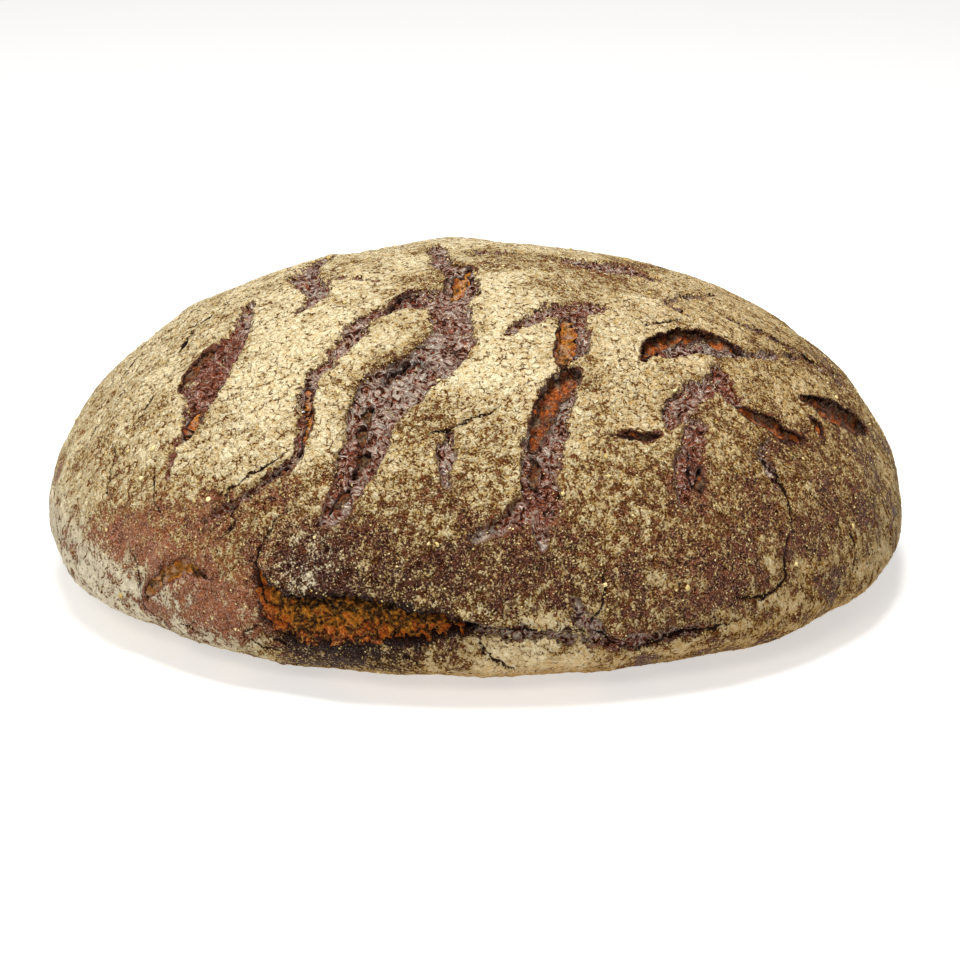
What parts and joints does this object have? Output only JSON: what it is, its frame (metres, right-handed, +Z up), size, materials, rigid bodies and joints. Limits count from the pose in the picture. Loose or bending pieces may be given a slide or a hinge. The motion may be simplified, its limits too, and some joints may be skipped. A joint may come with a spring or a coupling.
{
  "type": "rye bread loaf",
  "caption": "Whole oval hearth-baked rye loaf, domed and floured, with torn fissures and a gape low on the front, flat heel underneath.",
  "frame": {"origin": "centre of the flat heel that the loaf stands on", "axes": "+X to the loaf's right-hand end (longest), +Y to the back, +Z up through the crown (shortest); the large gape faces -Y"},
  "size_m": [0.2601, 0.2241, 0.0952],
  "materials": {
    "loaf": "dark baked rye crust dusted with pale rye flour, open orange-brown crumb in the fissures"
  },
  "bodies": {
    "root": {"loaf": "loaf"}
  },
  "joints": []
}
